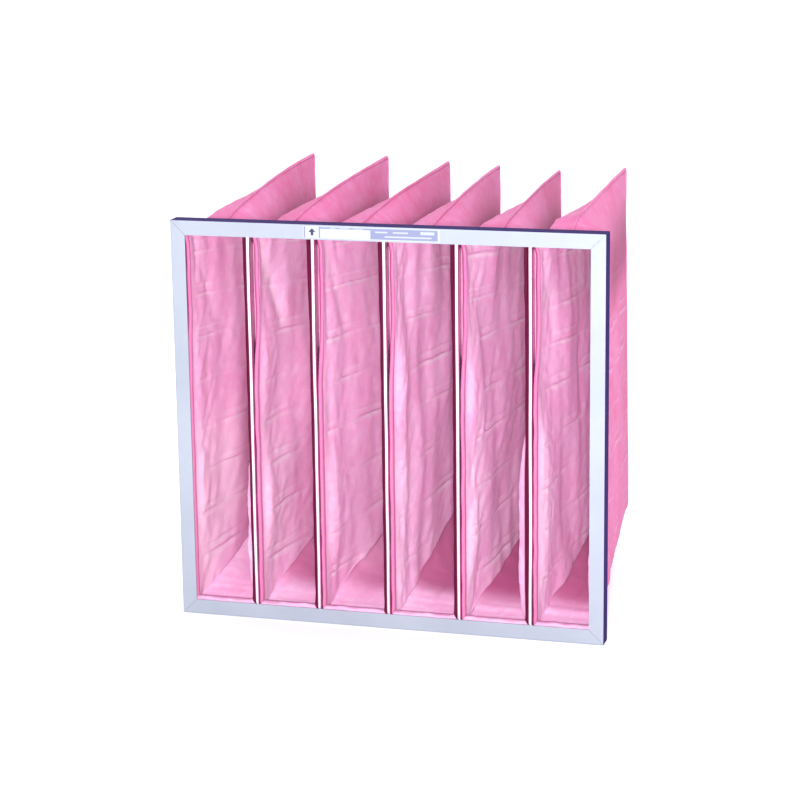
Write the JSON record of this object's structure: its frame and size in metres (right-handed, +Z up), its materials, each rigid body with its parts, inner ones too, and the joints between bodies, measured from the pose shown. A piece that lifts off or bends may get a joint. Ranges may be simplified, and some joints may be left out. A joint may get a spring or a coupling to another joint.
{
  "type": "bag air filter",
  "caption": "Tapered fabric air filter pockets side by side, their hems clipped into a mitred aluminium channel header frame.",
  "frame": {"origin": "bottom centre of the box round the whole filter; the header's bottom edge is at z = 0 and its front face at y = -0.25", "axes": "+X across the header from the first pocket to the last, +Y the way the air flows, from the mouths to the rear seams, +Z up along the header"},
  "size_m": [0.592, 0.5003, 0.5748],
  "materials": {
    "header": "satin, with a dark indigo outer edge",
    "clip": "bright zinc-coated strip",
    "media": "matt pink non-woven felt with a slight sheen",
    "label": "matt, with pale and grey-blue fields"
  },
  "bodies": {
    "root": {"header_bottom": "header", "header_left": "header", "header_top": "header", "header_right": "header", "corner_key_bottom_left": "clip", "corner_key_bottom_right": "clip", "corner_key_top_right": "clip", "corner_key_top_left": "clip", "divider_1": "clip", "divider_2": "clip", "divider_3": "clip", "divider_4": "clip", "divider_5": "clip", "hem_clip_bottom_1": "clip", "hem_clip_top_1": "clip", "hem_clip_bottom_2": "clip", "hem_clip_top_2": "clip", "hem_clip_bottom_3": "clip", "hem_clip_top_3": "clip", "hem_clip_bottom_4": "clip", "hem_clip_top_4": "clip", "hem_clip_bottom_5": "clip", "hem_clip_top_5": "clip", "hem_clip_bottom_6": "clip", "hem_clip_top_6": "clip", "side_clip_left": "clip", "side_clip_right": "clip", "pocket_1": "media", "pocket_2": "media", "pocket_3": "media", "pocket_4": "media", "pocket_5": "media", "pocket_6": "media", "label": "label"}
  },
  "joints": []
}
